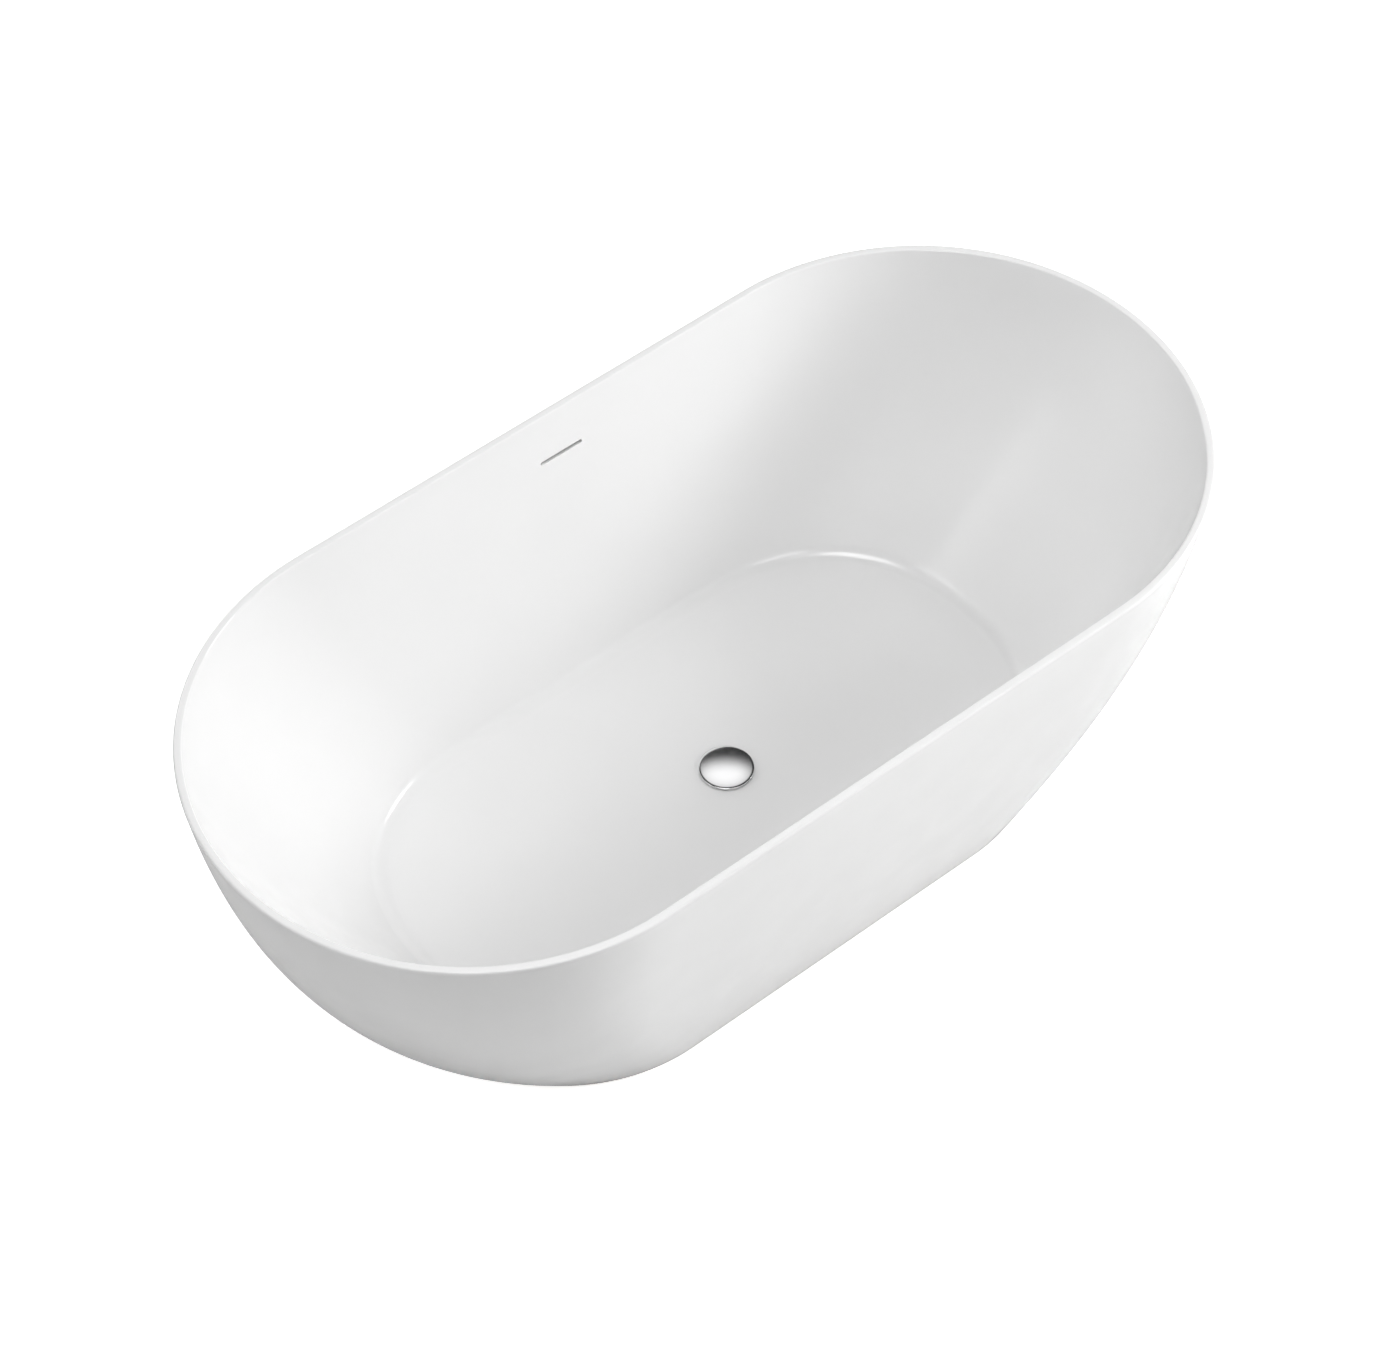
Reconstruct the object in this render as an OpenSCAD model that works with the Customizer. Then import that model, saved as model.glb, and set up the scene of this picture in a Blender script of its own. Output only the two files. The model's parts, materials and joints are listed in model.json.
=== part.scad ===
// Freestanding double-walled bathtub, in millimetres.
// +X runs along the tub, +Y towards the side with the overflow slot, +Z up.
// The origin is on the floor, under the middle of the tub.

/* [Tub] */
// Overall length of the tub
tub_length = 1700; // [1660:10:1760]
// Overall width of the tub
tub_width = 850; // [840:2:880]
// Height of the rim above the floor
tub_height = 580; // [570:5:600]

/* [Rim] */
// Width of the flat rim
rim_width = 12; // [12:0.5:14]
// Radius of the rim's outer top edge
rim_round = 3; // [1:0.5:4]
// Radius of the rim's inner top edge
rim_inner_round = 1.5; // [0.5:0.25:2]
// Height of the rim's outer lip, down to the skirt's top edge
rim_lip = 6; // [5:0.5:8]

/* [Basin] */
// Depth of the basin floor below the rim
basin_depth = 455; // [450:1:460]
// Half length of the straight side where the wall would meet the floor
corner_straight = 242; // [230:1:260]
// Half width where the wall would meet the floor
corner_half = 297; // [290:1:300]
// Half length of the straight side of the flat floor
floor_straight = 248; // [240:1:256]
// Half width of the flat floor
floor_half = 275; // [268:1:280]
// Height of the rounding between wall and floor
fillet_rise = 17; // [12:1:22]
// Squareness of the floor's ends, where 2 is a true half circle
floor_power = 2.26; // [2:0.02:2.5]
// Hollowness of the sloping ends, where 1 is a straight slope
end_power = 1.25; // [1:0.05:1.6]

/* [Skirt] */
// Gap between the floor and the skirt's lower edge
skirt_gap = 8; // [6:1:12]
// Half length of the straight side at the skirt's lower edge
base_straight = 279; // [270:1:290]
// Half width at the skirt's lower edge
base_half = 301; // [298:1:306]
// Bulge of the skirt's long sides, where 1 is a straight cone
side_power = 1.19; // [1.15:0.01:1.3]
// Bulge of the skirt's ends
skirt_end_power = 2.85; // [2.4:0.05:3.2]

/* [Skins] */
// Thickness of the acrylic skins
acrylic_t = 4; // [3.5:0.1:4]
// Thickness of the glass-fibre backing of the basin
basin_backing_t = 3; // [2:0.5:3]
// Thickness of the glass-fibre backing of the skirt
skirt_backing_t = 2; // [1.5:0.1:2]
// Thickness of the bond line between two skins
bond_t = 0.2; // [0.1:0.05:0.3]

/* [Waste] */
// Distance of the waste from the middle of the tub
drain_x = 37; // [30:1:44]
// Diameter of the waste cap
cap_d = 85; // [80:1:90]
// Lift of the waste cap from closed to open
cap_lift = 8; // [6:0.5:8]
// Outer diameter of the tail pipe's free end
tail_pipe_d = 40; // [38:0.5:40]

/* [Overflow] */
// Distance of the slot from the middle of the tub
slot_x = 43; // [40:1:50]
// Distance of the slot below the rim
slot_drop = 75; // [72:1:85]
// Length of the slot
slot_length = 80; // [70:1:84]
// Height of the slot
slot_height = 7.2; // [6.8:0.1:8]

/* [Frame and feet] */
// Side of the square steel tubes
tube_side = 25; // [25:0.5:26]
// Distance of the cross tubes from the middle of the tub
cross_x = 360; // [340:5:370]
// Distance of the rails from the centre line
rail_y = 150; // [140:2:156]
// Distance of the feet from the centre line
foot_y = 205; // [200:1:215]
// Diameter of the foot pads
pad_d = 50; // [40:1:56]
// Diameter of the foot rods
rod_d = 12; // [10:1:12]

/* [Hidden] */
$fn = 64;
eps = 0.01;
cut = 1;

// Rim outline: a stadium with a straight half length and a half width
rim_half = tub_width / 2;
rim_straight = tub_length / 2 - rim_half;
inner_half = rim_half - rim_width;
floor_z = tub_height - basin_depth;
skirt_height = tub_height - skirt_gap;

// Facets of the large skins
end_segments = 24;
wall_rings = 10;
fillet_rings = 5;
skirt_rings = 12;
edge_steps = 3;
// Width added level with the wall, so that the skin keeps its thickness on the slope
skin_out = 1.05;
// Drop of the backings' top edges below the rim
backing_drop = 40;
// Lowest edge of the skirt's backing above the skirt's own edge
backing_lift = 4;
// Small round of the skirt's lower edge
skirt_edge = 2;
// Height of the adhesive bead under the rim
bead_height = 18;
skirt_top = tub_height - rim_lip;
bead_top = skirt_top - bond_t;
bead_low = bead_top - bead_height;
skirt_backing_low = skirt_gap + backing_lift;
skirt_backing_top = tub_height - backing_drop;

// Levels under the basin floor
board_t = 15;
board_straight = 240;
board_half = 250;
tube_wall = 2;
backing_z = floor_z - acrylic_t - bond_t - basin_backing_t;
board_z = backing_z - board_t;
rail_z = board_z - tube_side;
cross_z = rail_z - tube_side;
rail_half_length = 440;
cross_half_length = 235;
screw_x = [-420, -240, -110, 110, 240, 420];
screw_r = 2;
screw_head_r = 4.5;
screw_head_h = 3;
screw_bite = 12;
screw_slack = 0.3;
bolt_r = 4;
bolt_hole_r = 4.2;
bolt_af = 13;
bolt_head_h = 5;
weld_nut_h = 6.5;
plug_head = 3;
plug_depth = 10;
drain_clearance_r = 60;

// Feet: pad, rod, lock nut and weld nut, in order round the frame
foot_places = [[cross_x, -foot_y], [cross_x, foot_y], [-cross_x, foot_y], [-cross_x, -foot_y]];
pad_h = 12;
pad_floor = 4;
pad_top_r = 13;
spigot_r = 5;
fit_gap = 0.05;
rod_af = 17;
rod_hex_h = 7;
rod_top = 96;
foot_nut_af = 19;
locknut_h = 7;
foot_weld_nut_h = 10;
rod_hole_slack = 0.6;
rod_hole_r = rod_d / 2 + rod_hole_slack;

// Waste: radii and levels
neck_r = 22;
neck_bore_r = 19;
neck_z = floor_z - 41;
flange_r = 36;
flange_t = 2.5;
gasket_t = 1.5;
gasket_bore_r = 23;
flange_z = floor_z + gasket_t;
seat_z = flange_z + flange_t;
funnel_r = 23;
funnel_join_r = 20.5;
funnel_drop = 4.5;
spider_bar_w = 4;
spider_h = 5;
boss_r = 8;
cap_r = cap_d / 2;
cap_z = floor_z + 3.6;
cap_side = 3;
cap_crown = 1.5;
cap_wall = 2;
cap_ceiling = 2.1;
stem_grip = 0.8;
seal_r = 33;
seal_bore_r = 26;
stem_r = 4;
stem_tip_r = 3;
stem_z = floor_z - 25;
collar_r = 6.4;
collar_z = stem_z + 1;
collar_h = 3;
cartridge_r = 9;
chamber_r = 6.6;
cartridge_z = neck_z + spider_h;
cartridge_h = 30;
cartridge_base = 4;
cartridge_neck = 6;
lower_gasket_t = 3;
body_r = 28;
body_bore_r = 24;
body_flange_t = 3.8;
body_top = backing_z - lower_gasket_t;
body_shoulder_z = neck_z - 4;
body_floor_z = 38;
body_floor_t = 4;
inlet_z = 56;
inlet_r = 12;
inlet_bore_r = 10;
inlet_end_y = 60;
outlet_r = 23;
outlet_z = 24;
pipe_r = tail_pipe_d / 2;
pipe_upper_r = pipe_r - 1;
pipe_wall = 2;
pipe_z = 5;
pipe_shoulder_z = 18;
pipe_top_z = 38;
nut_z = 20;
nut_top_z = 36;
nut_lip = 2;
nut_r = 28;
nut_slack = 0.3;
nut_ribs = 16;
nut_rib_r = 1.6;
spring_coils = 5;
spring_r = 5;
spring_wire = 1;
spring_sides = 6;
spring_steps = 12;

// Overflow: laid out on the sloping side wall, whose face is a plane
wall_lean = atan((inner_half - corner_half) / basin_depth);
slot_z = tub_height - slot_drop;
slot_y = inner_half - slot_drop * tan(wall_lean);
liner_t = 0.6;
skin_slack = 0.08;
skin_back = acrylic_t * skin_out * cos(wall_lean) + skin_slack;
gasket_depth = 0.8;
housing_front = skin_back + gasket_depth;
housing_depth = 6.2;
housing_wall = 1.2;
housing_half = 46;
housing_top = 14;
housing_bottom = -30;
gasket_bottom = -12;
duct_front = 4.3;
duct_depth = 8;
duct_half = 30;
duct_wall = 1.5;
duct_end_z = 96;
window_half = 48;
window_margin = 2;
adapter_half = 34;
adapter_y = [268, 303.4];
adapter_z = 48;
adapter_wall = 2;
adapter_spigot_z = 66;
adapter_spigot_y = 250;
// Hose: real route from the adapter's spigot to the waste inlet
hose_bore_r = 12.3;
hose_r = 13.7;
hose_sides = 16;
hose_start = [slot_x, 264, adapter_spigot_z];
hose_end = [drain_x, 46, inlet_z];
hose_rings = 20;
clip_r = 15.4;
clip_w = 9;
clip_inset = 4;

// One station of a skin: [straight half length, half width, end power, height]
function lerp(a, b, t) = a + (b - a) * t;
function bezier(a, b, c, t) = lerp(lerp(a, b, t), lerp(b, c, t), t);
function reversed(list) = [for (i = [len(list) - 1:-1:0]) list[i]];
function signed_power(x, p) = sign(x) * pow(abs(x), p);

// Points of one station, anticlockwise from above
function end_point(s, side, a) = [
    side * s[0] + s[1] * signed_power(cos(a), 2 / s[2]),
    s[1] * signed_power(sin(a), 2 / s[2]),
    s[3]
];
function ring(s) = concat(
    [for (i = [0:end_segments]) end_point(s, 1, -90 + 180 * i / end_segments)],
    [for (i = [0:end_segments]) end_point(s, -1, 90 + 180 * i / end_segments)]
);
ring_size = 2 * (end_segments + 1);

// The basin wall at a share u of the depth, moved out by a skin's thickness
function basin_station(u, out) = [
    rim_straight - (rim_straight - corner_straight) * pow(u, end_power),
    lerp(inner_half, corner_half, u) + out,
    lerp(2, floor_power, u),
    tub_height - basin_depth * u
];
// The basin's surface from the flat floor up to a drop below the rim
function basin_skin(thickness, drop) =
    let (out = thickness * skin_out)
    let (low = floor_z - thickness)
    let (foot = 1 - fillet_rise / basin_depth)
    let (wall_foot = basin_station(foot, out))
    let (corner = basin_station(1 + thickness / basin_depth, out))
    let (flat_edge = [floor_straight, floor_half, floor_power, low])
    concat(
        [for (k = [0:fillet_rings - 1]) bezier(flat_edge, corner, wall_foot, k / fillet_rings)],
        [for (k = [0:wall_rings]) basin_station(lerp(foot, drop / basin_depth, k / wall_rings), out)]
    );
// The skirt at a share t of its height, moved in by a skin's thickness
function skirt_station(t, inset) = [
    base_straight + (rim_straight - base_straight) * (1 - pow(1 - t, skirt_end_power)),
    base_half + (rim_half - base_half) * (1 - pow(1 - t, side_power)) - inset,
    2,
    skirt_gap + skirt_height * t
];
function skirt_at(z, inset) = skirt_station((z - skirt_gap) / skirt_height, inset);
// The skirt between its backing's edges. Shell and backing share these levels, so their facets are parallel
function skirt_skin(inset) = [
    for (k = [0:skirt_rings])
        skirt_at(lerp(skirt_backing_low, skirt_backing_top, k / skirt_rings), inset)
];
// The rim's round edges, from the inner wall over the top to the outer lip
function rim_edges() = concat(
    [for (k = [1:edge_steps]) let (a = 90 * k / edge_steps)
        [rim_straight, inner_half + rim_inner_round * (1 - cos(a)), 2,
            tub_height - rim_inner_round * (1 - sin(a))]],
    [for (k = [edge_steps:-1:0]) let (a = 90 * k / edge_steps)
        [rim_straight, rim_half - rim_round * (1 - cos(a)), 2,
            tub_height - rim_round * (1 - sin(a))]],
    [[rim_straight, rim_half, 2, tub_height - rim_lip]],
    [[rim_straight, rim_half - acrylic_t, 2, tub_height - rim_lip]]
);

// Two triangles between each pair of points on neighbouring rings
function side_faces(rings, size, closed) = [
    for (k = [0:rings - (closed ? 1 : 2)], i = [0:size - 1], half = [0, 1])
        let (m = (k + 1) % rings)
        let (j = (i + 1) % size)
        half == 0
            ? [k * size + i, k * size + j, m * size + j]
            : [k * size + i, m * size + j, m * size + i]
];
function all_points(stations) = [for (s = stations) each ring(s)];

// A skin that closes over the floor: both end stations are capped
module bowl(stations) {
    count = len(stations);
    polyhedron(
        points = all_points(stations),
        faces = concat(
            side_faces(count, ring_size, false),
            [[for (i = [ring_size - 1:-1:0]) i]],
            [[for (i = [0:ring_size - 1]) (count - 1) * ring_size + i]]
        )
    );
}
// A skin that runs round and closes on itself
module band(stations) {
    polyhedron(points = all_points(stations), faces = side_faces(len(stations), ring_size, true));
}

module tube(r, bore, z, h) {
    translate([0, 0, z]) difference() {
        cylinder(r = r, h = h);
        translate([0, 0, -cut]) cylinder(r = bore, h = h + 2 * cut);
    }
}
module hexagon_prism(af, z, h) {
    translate([0, 0, z]) cylinder(d = af / cos(30), h = h, $fn = 6);
}
module slab(x, y, z) {
    translate([x[0], y[0], z[0]]) cube([x[1] - x[0], y[1] - y[0], z[1] - z[0]]);
}
module at_drain() {
    translate([drain_x, 0, 0]) children();
}
// Frame on the sloping side wall: the wall's face is its XZ plane, +Y leads out of the basin
module on_wall() {
    translate([slot_x, slot_y, slot_z]) rotate([-wall_lean, 0, 0]) children();
}
// Bar with the slot's round-ended outline, laid along the wall frame's Y
module slot_bar(length, height, y, depth) {
    translate([0, y, 0]) rotate([-90, 0, 0]) linear_extrude(depth) {
        square([length - height, height], center = true);
        for (side = [-1, 1]) translate([side * (length - height) / 2, 0]) circle(d = height);
    }
}
module stadium_plate(straight, half, z, h) {
    translate([0, 0, z]) linear_extrude(h) {
        square([2 * straight, 2 * half], center = true);
        for (side = [-1, 1]) translate([side * straight, 0]) circle(r = half, $fn = 96);
    }
}

module basin_shell() {
    color("white") difference() {
        bowl(concat(
            basin_skin(0, rim_inner_round),
            rim_edges(),
            reversed(basin_skin(acrylic_t, rim_lip))
        ));
        at_drain() translate([0, 0, floor_z - acrylic_t - cut])
            cylinder(r = gasket_bore_r, h = acrylic_t + 2 * cut);
        on_wall() slot_bar(slot_length, slot_height, -cut, acrylic_t + 2 * cut);
    }
}
module basin_backing() {
    inner = acrylic_t + bond_t;
    color("wheat") difference() {
        bowl(concat(
            basin_skin(inner, backing_drop),
            reversed(basin_skin(inner + basin_backing_t, backing_drop))
        ));
        at_drain() translate([0, 0, backing_z - cut])
            cylinder(r = gasket_bore_r, h = basin_backing_t + 2 * cut);
        on_wall() slab(
            [-window_half, window_half],
            [acrylic_t - cut, acrylic_t + 2 * basin_backing_t],
            [-basin_depth, housing_top + window_margin]
        );
    }
}
module skirt_shell() {
    levels = [bead_low, bead_top, skirt_top];
    color("white") band(concat(
        [skirt_at(skirt_gap, acrylic_t)],
        skirt_skin(acrylic_t),
        [for (z = levels) skirt_at(z, acrylic_t)],
        [for (z = reversed(levels)) skirt_at(z, 0)],
        reversed(skirt_skin(0)),
        [skirt_at(skirt_gap + skirt_edge, 0), skirt_at(skirt_gap, skirt_edge)]
    ));
}
module skirt_backing() {
    outer = acrylic_t + bond_t;
    color("wheat") band(concat(
        skirt_skin(outer + skirt_backing_t),
        reversed(skirt_skin(outer))
    ));
}
module rim_adhesive() {
    behind = acrylic_t + bond_t;
    color("gainsboro") band([
        basin_station((tub_height - bead_low) / basin_depth, behind * skin_out),
        basin_station((tub_height - bead_top) / basin_depth, behind * skin_out),
        skirt_at(bead_top, behind),
        skirt_at(bead_low, behind)
    ]);
}

module base_board() {
    color("burlywood") difference() {
        stadium_plate(board_straight, board_half, board_z, board_t);
        at_drain() translate([0, 0, board_z - cut])
            cylinder(r = drain_clearance_r, h = board_t + 2 * cut);
        for (x = screw_x, side = [-1, 1])
            translate([x, side * rail_y, board_z - cut]) cylinder(r = screw_r, h = screw_bite + cut);
    }
}
module square_tube(half_length) {
    difference() {
        translate([-half_length, -tube_side / 2, 0]) cube([2 * half_length, tube_side, tube_side]);
        translate([-half_length - cut, -tube_side / 2 + tube_wall, tube_wall])
            cube([2 * (half_length + cut), tube_side - 2 * tube_wall, tube_side - 2 * tube_wall]);
    }
}
module rail(side) {
    color("dimgray") difference() {
        translate([0, side * rail_y, rail_z]) square_tube(rail_half_length);
        for (x = screw_x) translate([x, side * rail_y, rail_z - cut])
            cylinder(r = screw_r + screw_slack, h = tube_side + 2 * cut);
        for (x = [-cross_x, cross_x]) translate([x, side * rail_y, rail_z - cut])
            cylinder(r = bolt_hole_r, h = tube_wall + 2 * cut);
    }
}
module cross_tube(side) {
    color("dimgray") difference() {
        translate([side * cross_x, 0, cross_z]) rotate([0, 0, 90]) square_tube(cross_half_length);
        for (y = [-rail_y, rail_y]) translate([side * cross_x, y, cross_z - cut])
            cylinder(r = bolt_hole_r, h = tube_side + 2 * cut);
        for (y = [-foot_y, foot_y]) translate([side * cross_x, y, cross_z - cut])
            cylinder(r = rod_hole_r, h = tube_side + 2 * cut);
    }
}
// Plug for one end of a square tube, with its head facing +X
module end_plug() {
    inner = tube_side - 2 * tube_wall;
    translate([0, -tube_side / 2, 0]) cube([plug_head, tube_side, tube_side]);
    translate([-plug_depth, -inner / 2, tube_wall]) cube([plug_depth + eps, inner, inner]);
}
module tube_end_plugs() {
    color("black") {
        for (side = [-1, 1], turn = [0, 180])
            translate([0, side * rail_y, rail_z]) rotate([0, 0, turn])
                translate([rail_half_length, 0, 0]) end_plug();
        for (side = [-1, 1], turn = [90, -90])
            translate([side * cross_x, 0, cross_z]) rotate([0, 0, turn])
                translate([cross_half_length, 0, 0]) end_plug();
    }
}
module board_screws() {
    color("silver") for (x = screw_x, side = [-1, 1]) translate([x, side * rail_y, rail_z]) {
        cylinder(r = screw_r, h = tube_side + screw_bite);
        translate([0, 0, -screw_head_h]) cylinder(r = screw_head_r, h = screw_head_h);
    }
}
module frame_bolts() {
    color("silver") for (x = [-cross_x, cross_x], y = [-rail_y, rail_y]) translate([x, y, 0]) {
        hexagon_prism(bolt_af, cross_z - bolt_head_h, bolt_head_h);
        translate([0, 0, cross_z]) cylinder(r = bolt_r, h = tube_side + tube_wall + weld_nut_h);
    }
}
module frame_weld_nuts() {
    color("gray") for (x = [-cross_x, cross_x], y = [-rail_y, rail_y]) translate([x, y, 0])
        difference() {
            hexagon_prism(bolt_af, rail_z + tube_wall, weld_nut_h);
            translate([0, 0, rail_z]) cylinder(r = bolt_r, h = tube_side);
        }
}

module at_foot(i) {
    translate([foot_places[i][0], foot_places[i][1], 0]) children();
}
module foot_pad(i) {
    socket_r = spigot_r + fit_gap;
    color("black") at_foot(i) rotate_extrude() polygon([
        [0, 0], [pad_d / 2 - 1, 0], [pad_d / 2, 1], [pad_d / 2, pad_floor],
        [pad_top_r, pad_h], [socket_r, pad_h], [socket_r, pad_floor], [0, pad_floor]
    ]);
}
module foot_rod(i) {
    color("silver") at_foot(i) {
        translate([0, 0, pad_floor + fit_gap]) cylinder(r = spigot_r, h = pad_h - pad_floor);
        hexagon_prism(rod_af, pad_h + fit_gap, rod_hex_h);
        translate([0, 0, pad_h + rod_hex_h]) cylinder(d = rod_d, h = rod_top - pad_h - rod_hex_h);
    }
}
module foot_nut(i, z, h) {
    color("gray") at_foot(i) difference() {
        hexagon_prism(foot_nut_af, z, h);
        translate([0, 0, z - cut]) cylinder(r = rod_d / 2 + fit_gap, h = h + 2 * cut);
    }
}
module foot_locknut(i) {
    foot_nut(i, cross_z - locknut_h, locknut_h);
}
module foot_weld_nut(i) {
    foot_nut(i, rail_z, foot_weld_nut_h);
}

module drain_flange() {
    color("silver") at_drain() rotate_extrude() polygon([
        [funnel_join_r, flange_z], [flange_r, flange_z], [flange_r, seat_z - 1],
        [flange_r - 1, seat_z], [funnel_r, seat_z]
    ]);
}
// Neck under the flange, which goes through the basin into the waste body
module drain_neck() {
    color("silver") at_drain() rotate_extrude() polygon([
        [neck_bore_r, neck_z], [neck_r, neck_z], [neck_r, flange_z],
        [funnel_join_r, flange_z], [neck_bore_r, flange_z - funnel_drop]
    ]);
}
// Cross pressed into the neck, which carries the cartridge
module drain_spider() {
    color("gold") at_drain() translate([0, 0, neck_z]) difference() {
        union() {
            cylinder(r = boss_r, h = spider_h);
            intersection() {
                for (turn = [45, 135]) rotate([0, 0, turn])
                    translate([-neck_r, -spider_bar_w / 2, 1]) cube([2 * neck_r, spider_bar_w, spider_h - 2]);
                cylinder(r = neck_bore_r - fit_gap, h = spider_h);
            }
        }
        translate([0, 0, -cut]) cylinder(r = stem_tip_r + fit_gap, h = spider_h + 2 * cut);
    }
}
module drain_upper_gasket() {
    color("lightgray") at_drain() tube(flange_r - 1, gasket_bore_r, floor_z, gasket_t);
}
module drain_lower_gasket() {
    color("black") at_drain() tube(flange_r - 1, gasket_bore_r, body_top, lower_gasket_t);
}
module waste_body() {
    color("white") at_drain() difference() {
        union() {
            translate([0, 0, body_floor_z]) cylinder(r = body_r, h = body_top - body_floor_z);
            translate([0, 0, body_top - body_flange_t]) cylinder(r = flange_r, h = body_flange_t);
            translate([0, 0, outlet_z]) cylinder(r = outlet_r, h = body_floor_z - outlet_z + cut);
            translate([0, body_bore_r, inlet_z]) rotate([-90, 0, 0])
                cylinder(r = inlet_r, h = inlet_end_y - body_bore_r);
        }
        translate([0, 0, body_shoulder_z]) cylinder(r = neck_r, h = body_top - body_shoulder_z + cut);
        translate([0, 0, body_floor_z + body_floor_t])
            cylinder(r = body_bore_r, h = body_shoulder_z - body_floor_z - body_floor_t + eps);
        translate([0, 0, outlet_z - cut])
            cylinder(r = pipe_upper_r + 2 * fit_gap, h = body_floor_z + body_floor_t - outlet_z + 2 * cut);
        translate([0, 0, inlet_z]) rotate([-90, 0, 0]) cylinder(r = inlet_bore_r, h = inlet_end_y + cut);
    }
}
module outlet_washer() {
    color("black") at_drain()
        tube(outlet_r, pipe_upper_r + fit_gap, nut_z + nut_lip, outlet_z - nut_z - nut_lip);
}
module outlet_nut() {
    lip_bore_r = pipe_upper_r + nut_slack;
    color("white") at_drain() {
        rotate_extrude() polygon([
            [lip_bore_r, nut_z], [nut_r - 1, nut_z], [nut_r, nut_z + 1],
            [nut_r, nut_top_z], [outlet_r + fit_gap, nut_top_z],
            [outlet_r + fit_gap, nut_z + nut_lip], [lip_bore_r, nut_z + nut_lip]
        ]);
        for (k = [0:nut_ribs - 1]) rotate([0, 0, 360 * k / nut_ribs])
            translate([nut_r, 0, nut_z + nut_lip])
                cylinder(r = nut_rib_r, h = nut_top_z - nut_z - nut_lip, $fn = 16);
    }
}
module tail_pipe() {
    color("white") at_drain() {
        tube(pipe_r, pipe_r - pipe_wall, pipe_z, pipe_shoulder_z - pipe_z);
        tube(pipe_upper_r, pipe_r - pipe_wall, pipe_shoulder_z, pipe_top_z - pipe_shoulder_z);
    }
}
module click_cartridge() {
    top = cartridge_z + cartridge_h;
    color("gold") at_drain() rotate_extrude() polygon([
        [stem_tip_r, cartridge_z], [cartridge_r, cartridge_z], [cartridge_r, top - 1],
        [cartridge_r - 1, top], [stem_r + fit_gap, top], [stem_r + fit_gap, top - cartridge_neck],
        [chamber_r, top - cartridge_neck], [chamber_r, cartridge_z + cartridge_base],
        [stem_tip_r, cartridge_z + cartridge_base]
    ]);
}
module cartridge_screw() {
    head_h = 3.5;
    recess = 0.2;
    color("silver") at_drain() {
        translate([0, 0, neck_z]) cylinder(r = stem_tip_r, h = spider_h + cartridge_base - recess);
        translate([0, 0, neck_z - head_h]) cylinder(r = stem_tip_r + 2, h = head_h);
    }
}
// Ring of points round one place on the spring's helix
function helix_ring(a, z) = [
    for (i = [0:spring_sides - 1]) let (b = 360 * i / spring_sides)
        let (r = spring_r + spring_wire / 2 * cos(b))
        [r * cos(a), r * sin(a), z + spring_wire / 2 * sin(b)]
];
module swept_rod(rings) {
    size = len(rings[0]);
    count = len(rings);
    polyhedron(
        points = [for (r = rings) each r],
        faces = concat(
            side_faces(count, size, false),
            [[for (i = [size - 1:-1:0]) i]],
            [[for (i = [0:size - 1]) (count - 1) * size + i]]
        )
    );
}
module cartridge_spring() {
    low = cartridge_z + cartridge_base + spring_wire / 2 + fit_gap;
    high = collar_z - spring_wire / 2 - fit_gap;
    steps = spring_coils * spring_steps;
    color("gray") at_drain() swept_rod([
        for (k = [0:steps]) helix_ring(360 * k / spring_steps, lerp(low, high, k / steps))
    ]);
}
function crown_point(r, level) =
    let (reach = cap_r - 0.8)
    let (sphere_r = (reach * reach + cap_crown * cap_crown) / (2 * cap_crown))
    [r, level + cap_crown - sphere_r + sqrt(sphere_r * sphere_r - r * r)];
module stopper_cap() {
    level = cap_z + cap_side;
    steps = 8;
    color("silver") at_drain() difference() {
        rotate_extrude($fn = 96) polygon(concat(
            [[cap_r - cap_wall, cap_z], [cap_r - 0.4, cap_z], [cap_r, cap_z + 0.4], [cap_r, level - 0.8]],
            [for (k = [0:steps]) crown_point((cap_r - 0.8) * (1 - k / steps), level)],
            [[0, seat_z + fit_gap], [boss_r - 1, seat_z + fit_gap], [boss_r - 1, cap_z + cap_ceiling]],
            [[cap_r - cap_wall, cap_z + cap_ceiling]]
        ));
        translate([0, 0, cap_z - cut]) cylinder(r = stem_tip_r, h = cap_ceiling + stem_grip + fit_gap + cut);
    }
}
module stopper_seal() {
    color("black") at_drain()
        tube(seal_r, seal_bore_r, seat_z + fit_gap, cap_z + cap_ceiling - seat_z - fit_gap);
}
module stopper_stem() {
    color("gold") at_drain() {
        translate([0, 0, stem_z]) cylinder(r = stem_r, h = seat_z + fit_gap - stem_z);
        translate([0, 0, seat_z]) cylinder(r = stem_tip_r, h = cap_z + cap_ceiling + stem_grip - seat_z);
        translate([0, 0, collar_z]) cylinder(r = collar_r, h = collar_h);
    }
}

module overflow_liner() {
    color("silver") on_wall() difference() {
        slot_bar(slot_length, slot_height, 0, housing_front);
        slot_bar(slot_length - 2 * liner_t, slot_height - 2 * liner_t, -cut, housing_front + 2 * cut);
    }
}
module overflow_gasket() {
    color("black") on_wall() difference() {
        slab([-housing_half, housing_half], [skin_back, housing_front], [gasket_bottom, housing_top]);
        slot_bar(slot_length, slot_height, 0, housing_front + cut);
    }
}
module overflow_housing() {
    back = housing_front + housing_depth;
    color("whitesmoke") on_wall() difference() {
        slab([-housing_half, housing_half], [housing_front, back], [housing_bottom, housing_top]);
        slab(
            [-housing_half + housing_wall, housing_half - housing_wall],
            [housing_front + housing_wall, back - housing_wall],
            [housing_bottom + housing_wall, housing_top - housing_wall]
        );
        slab(
            [-duct_half + duct_wall, duct_half - duct_wall],
            [housing_front + housing_wall, back - housing_wall],
            [housing_bottom - cut, 0]
        );
        slot_bar(slot_length - 2 * liner_t, slot_height - 2 * liner_t, 0, housing_front + housing_wall + cut);
    }
}
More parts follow.
